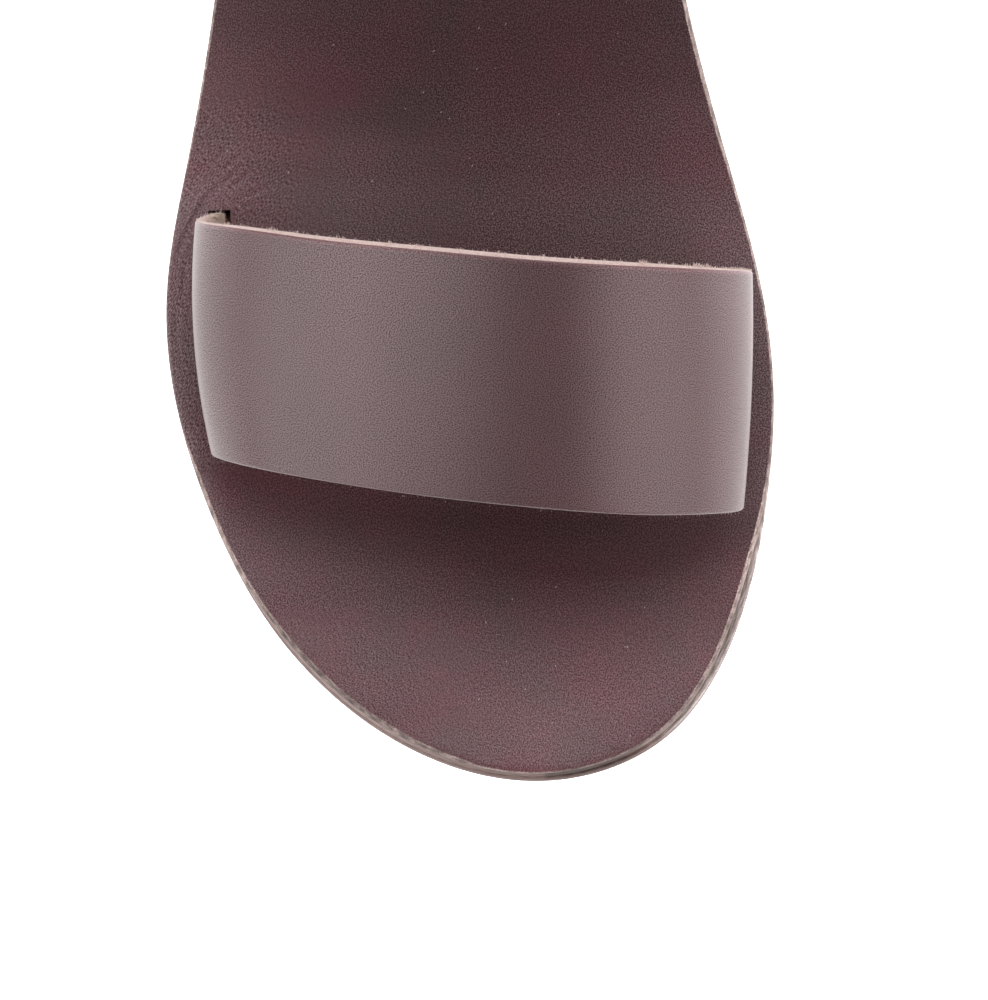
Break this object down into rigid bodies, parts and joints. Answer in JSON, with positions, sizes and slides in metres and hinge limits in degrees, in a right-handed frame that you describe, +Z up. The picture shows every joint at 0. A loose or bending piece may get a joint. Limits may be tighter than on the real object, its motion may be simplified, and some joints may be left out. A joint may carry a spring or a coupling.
{
  "type": "greek sandal",
  "caption": "Flat slip-on leather sandal for the right foot: a wide band over the ball, held in slits through the footbed, on a thin layered sole with a low heel.",
  "frame": {"origin": "on the floor, under the middle of the sandal's bounding box", "axes": "+Y from toe to heel, +X to the big toe's side (medial), +Z up"},
  "size_m": [0.09, 0.2502, 0.0494],
  "materials": {
    "insole": "pebbled burgundy brown leather with a sanded pale rim",
    "outsole": "smooth brown sole leather, sanded edge",
    "strap": "smooth satin grey-brown leather, raw cut edges",
    "heel_lift": "matt dark rubber"
  },
  "bodies": {
    "root": {"insole": "insole", "outsole": "outsole", "strap": "strap", "heel_lift": "heel_lift"}
  },
  "joints": []
}
